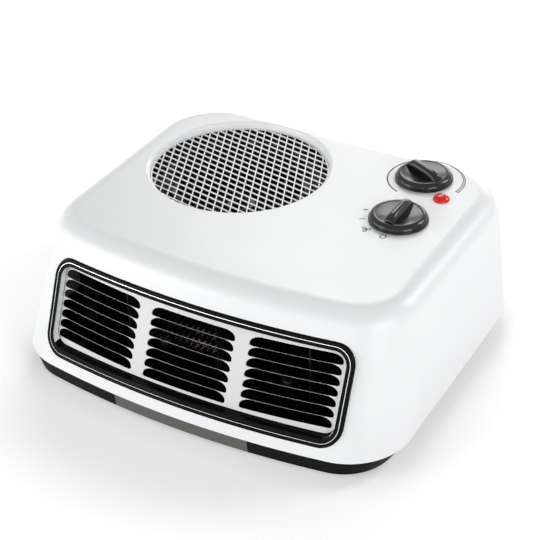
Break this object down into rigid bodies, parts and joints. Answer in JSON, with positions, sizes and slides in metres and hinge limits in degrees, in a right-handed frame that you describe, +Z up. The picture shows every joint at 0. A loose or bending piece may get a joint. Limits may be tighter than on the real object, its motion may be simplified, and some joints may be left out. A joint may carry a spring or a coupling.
{
  "type": "fan heater",
  "caption": "Low table fan heater: wedge-shaped gloss shell, round mesh intake on top, slotted outlet in the front, thermostat and selector knobs, fan and heating element inside.",
  "frame": {"origin": "on the floor, under the middle of the body's box", "axes": "+Z up, -Y the way the warm air leaves, +X to the right as seen from the front"},
  "size_m": [0.26, 0.226, 0.1041],
  "materials": {
    "shell_white": "moulded, high gloss",
    "mesh_white": "moulded, gloss",
    "base_black": "moulded, satin",
    "trim_black": "moulded, gloss",
    "knob_black": "moulded, semi-gloss",
    "lamp_red": "clear-tinted, gloss",
    "foot_rubber": "moulded, matt",
    "screw_steel": "zinc plated",
    "duct_grey": "moulded, matt",
    "fan_grey": "moulded, satin",
    "switch_cream": "moulded, matt",
    "zinc_sheet": "galvanised sheet",
    "core_steel": "stacked laminations",
    "winding_copper": "enamelled wire",
    "bearing_bronze": "sintered",
    "mica_board": "pressed mica sheet",
    "element_alloy": "resistance alloy",
    "fuse_white": "smooth"
  },
  "bodies": {
    "heater_body": {"top_cover": "shell_white", "outlet_plate": "shell_white", "intake_mesh": "mesh_white", "base_pan": "base_black", "cord_gland": "base_black", "terminal_block": "base_black", "lamp_holder": "base_black", "outlet_bezel": "trim_black", "lamp_lens": "lamp_red", "rubber_feet": "foot_rubber", "base_screws": "screw_steel", "bracket_screws": "screw_steel", "scroll_screws": "screw_steel", "motor_screws": "screw_steel", "element_screws": "screw_steel", "air_scroll": "duct_grey", "inlet_plate": "duct_grey", "mesh_ring": "duct_grey", "selector_switch": "switch_cream", "thermostat_body": "switch_cream", "motor_bobbin": "switch_cream", "control_bracket": "zinc_sheet", "element_frame": "zinc_sheet", "motor_lower_strap": "zinc_sheet", "motor_upper_strap": "zinc_sheet", "thermal_cutout": "zinc_sheet", "motor_core": "core_steel", "motor_winding": "winding_copper", "motor_bearings": "bearing_bronze", "mica_boards": "mica_board", "heating_ribbons": "element_alloy", "thermal_fuse": "fuse_white"},
    "fan": {"impeller": "fan_grey", "shaft_clip": "screw_steel", "motor_shaft": "screw_steel", "motor_rotor": "core_steel"},
    "thermostat_control": {"thermostat_knob": "knob_black", "thermostat_spindle": "screw_steel"},
    "selector_control": {"selector_knob": "knob_black", "selector_spindle": "screw_steel"}
  },
  "joints": [
    {"name": "fan_spin", "type": "hinge", "parent": "heater_body", "child": "fan", "pos_m": [-0.0439, 0.0419, 0.045], "axis": [0, 0, 1], "continuous": true},
    {"name": "thermostat_turn", "type": "hinge", "parent": "heater_body", "child": "thermostat_control", "pos_m": [0.069, 0.08, 0.095], "axis": [0, 0, 1], "range_deg": [0, 270]},
    {"name": "selector_turn", "type": "hinge", "parent": "heater_body", "child": "selector_control", "pos_m": [0.0757, 0.028, 0.095], "axis": [0, 0, 1], "range_deg": [-95, 0]}
  ]
}
